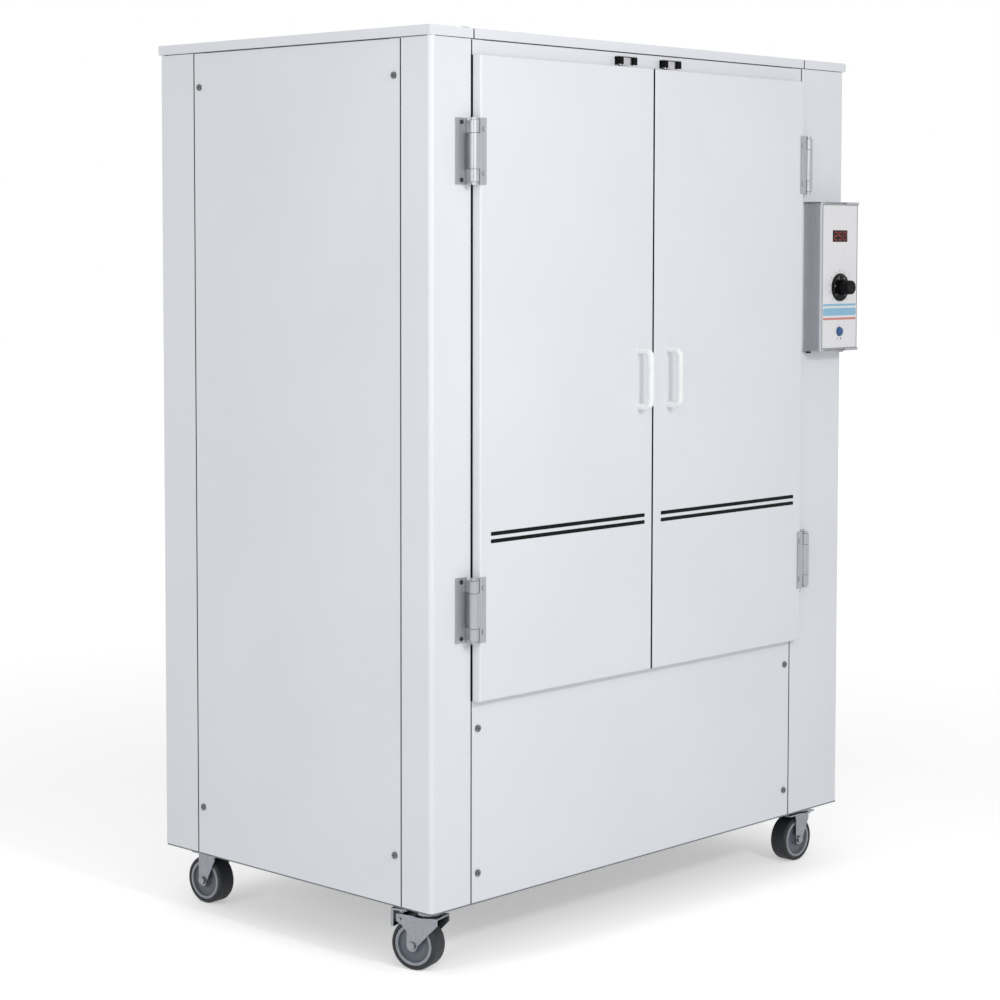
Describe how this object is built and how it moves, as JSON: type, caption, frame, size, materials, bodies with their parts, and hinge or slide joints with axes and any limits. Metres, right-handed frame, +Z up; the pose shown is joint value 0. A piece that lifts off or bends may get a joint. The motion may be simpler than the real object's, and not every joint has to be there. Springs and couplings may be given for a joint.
{
  "type": "laboratory drying oven",
  "caption": "Free-standing laboratory drying oven: white steel cabinet with double doors, heated chamber with shelves, side control box and swivel casters.",
  "frame": {"origin": "on the floor, under the middle of the overall box", "axes": "+Z up, -Y towards a person in front of the doors, +X to that person's right"},
  "size_m": [1.099, 0.7716, 1.584],
  "materials": {
    "white_paint": "satin",
    "grey_paint": "satin",
    "zinc_steel": "zinc plated",
    "stainless": "brushed",
    "bright_steel": "bright plated",
    "heater_steel": "heat darkened",
    "wool": "fibrous",
    "silicone": "matte",
    "box_metal": "satin",
    "white_panel": "satin",
    "display": "gloss",
    "black_plastic": "matte",
    "blue_plastic": "gloss",
    "hub_plastic": "matte",
    "tyre_rubber": "matte"
  },
  "bodies": {
    "cabinet": {"base_frame": "grey_paint", "corner_posts": "white_paint", "side_panels": "white_paint", "lower_front_panel": "white_paint", "door_header": "white_paint", "rear_panel": "white_paint", "top_covers": "white_paint", "support_deck": "grey_paint", "chamber_liner": "stainless", "chamber_insulation": "wool", "door_gasket": "silicone", "shelf_uprights": "stainless", "wire_shelves": "bright_steel", "plenum_cover": "stainless", "heater_element": "heater_steel", "fan_motor": "grey_paint", "temperature_probe": "stainless", "exhaust_collar": "stainless", "hinge_frame_leaves": "stainless", "hinge_pins": "stainless", "catch_brackets": "bright_steel", "control_housing": "box_metal", "control_panel": "white_panel", "display_window": "display", "cable_glands": "black_plastic", "caster_plates": "zinc_steel", "cabinet_screws": "zinc_steel"},
    "left_door": {"left_door_skin": "white_paint", "left_door_inner_pan": "stainless", "left_door_insulation": "wool", "left_door_handle": "white_paint", "left_door_hinge_leaves": "stainless", "left_door_strike": "bright_steel"},
    "right_door": {"right_door_skin": "white_paint", "right_door_inner_pan": "stainless", "right_door_insulation": "wool", "right_door_handle": "white_paint", "right_door_hinge_leaves": "stainless", "right_door_strike": "bright_steel"},
    "temperature_knob": {"temperature_knob": "black_plastic"},
    "power_switch": {"power_switch": "blue_plastic"},
    "fan": {"fan_impeller": "stainless"},
    "damper": {"exhaust_damper": "stainless"},
    "caster_front_left": {"caster_front_left_fork": "zinc_steel"},
    "wheel_front_left": {"caster_front_left_hub": "hub_plastic", "caster_front_left_tyre": "tyre_rubber"},
    "caster_front_right": {"caster_front_right_fork": "zinc_steel"},
    "wheel_front_right": {"caster_front_right_hub": "hub_plastic", "caster_front_right_tyre": "tyre_rubber"},
    "caster_rear_left": {"caster_rear_left_fork": "zinc_steel"},
    "wheel_rear_left": {"caster_rear_left_hub": "hub_plastic", "caster_rear_left_tyre": "tyre_rubber"},
    "caster_rear_right": {"caster_rear_right_fork": "zinc_steel"},
    "wheel_rear_right": {"caster_rear_right_hub": "hub_plastic", "caster_rear_right_tyre": "tyre_rubber"},
    "brake_front_left": {"caster_front_left_brake_pedal": "zinc_steel"},
    "left_catch_left_roller": {"left_catch_left_roller": "black_plastic"},
    "left_catch_right_roller": {"left_catch_right_roller": "black_plastic"},
    "right_catch_left_roller": {"right_catch_left_roller": "black_plastic"},
    "right_catch_right_roller": {"right_catch_right_roller": "black_plastic"}
  },
  "joints": [
    {"name": "left_door_hinge", "type": "hinge", "parent": "cabinet", "child": "left_door", "pos_m": [-0.469, -0.3362, 0.96575], "axis": [0, 0, -1], "range_deg": [0, 175]},
    {"name": "right_door_hinge", "type": "hinge", "parent": "cabinet", "child": "right_door", "pos_m": [0.409, -0.3362, 0.96575], "axis": [0, 0, 1], "range_deg": [0, 110]},
    {"name": "temperature_knob_turn", "type": "hinge", "parent": "cabinet", "child": "temperature_knob", "pos_m": [0.4825, -0.3572, 1.105], "axis": [0, 1, 0], "range_deg": [0, 270]},
    {"name": "power_switch_rock", "type": "hinge", "parent": "cabinet", "child": "power_switch", "pos_m": [0.4825, -0.3562, 1.022], "axis": [-1, 0, 0], "range_deg": [0, 16]},
    {"name": "fan_spin", "type": "hinge", "parent": "cabinet", "child": "fan", "pos_m": [-0.03, -0.0087, 0.4875], "axis": [0, 0, 1], "continuous": true},
    {"name": "damper_turn", "type": "hinge", "parent": "cabinet", "child": "damper", "pos_m": [-0.03, 0.1538, 1.543], "axis": [1, 0, 0], "range_deg": [0, 90]},
    {"name": "front_left_swivel", "type": "hinge", "parent": "cabinet", "child": "caster_front_left", "pos_m": [-0.495, -0.2592, 0.0915], "axis": [0, 0, 1], "continuous": true},
    {"name": "front_left_wheel_spin", "type": "hinge", "parent": "caster_front_left", "child": "wheel_front_left", "pos_m": [-0.50018, -0.23988, 0.042], "axis": [0.9659, 0.2588, 0], "continuous": true},
    {"name": "front_left_brake_press", "type": "hinge", "parent": "caster_front_left", "child": "brake_front_left", "pos_m": [-0.50613, -0.21766, 0.0835], "axis": [-0.9659, -0.2588, 0], "range_deg": [0, 10]},
    {"name": "front_right_swivel", "type": "hinge", "parent": "cabinet", "child": "caster_front_right", "pos_m": [0.495, -0.2592, 0.0915], "axis": [0, 0, 1], "continuous": true},
    {"name": "front_right_wheel_spin", "type": "hinge", "parent": "caster_front_right", "child": "wheel_front_right", "pos_m": [0.475, -0.2592, 0.042], "axis": [0, 1, 0], "continuous": true},
    {"name": "rear_left_swivel", "type": "hinge", "parent": "cabinet", "child": "caster_rear_left", "pos_m": [-0.475, 0.3028, 0.0915], "axis": [0, 0, 1], "continuous": true},
    {"name": "rear_left_wheel_spin", "type": "hinge", "parent": "caster_rear_left", "child": "wheel_rear_left", "pos_m": [-0.4764, 0.32275, 0.042], "axis": [0.9976, 0.0698, 0], "continuous": true},
    {"name": "rear_right_swivel", "type": "hinge", "parent": "cabinet", "child": "caster_rear_right", "pos_m": [0.475, 0.3028, 0.0915], "axis": [0, 0, 1], "continuous": true},
    {"name": "rear_right_wheel_spin", "type": "hinge", "parent": "caster_rear_right", "child": "wheel_rear_right", "pos_m": [0.4736, 0.32275, 0.042], "axis": [0.9976, 0.0698, 0], "continuous": true},
    {"name": "left_catch_left_roller_spin", "type": "hinge", "parent": "cabinet", "child": "left_catch_left_roller", "pos_m": [-0.1061, -0.3242, 1.4965], "axis": [0, 0, 1], "continuous": true},
    {"name": "left_catch_right_roller_spin", "type": "hinge", "parent": "cabinet", "child": "left_catch_right_roller", "pos_m": [-0.0709, -0.3242, 1.4965], "axis": [0, 0, 1], "continuous": true},
    {"name": "right_catch_left_roller_spin", "type": "hinge", "parent": "cabinet", "child": "right_catch_left_roller", "pos_m": [0.0109, -0.3242, 1.4965], "axis": [0, 0, 1], "continuous": true},
    {"name": "right_catch_right_roller_spin", "type": "hinge", "parent": "cabinet", "child": "right_catch_right_roller", "pos_m": [0.0461, -0.3242, 1.4965], "axis": [0, 0, 1], "continuous": true}
  ]
}
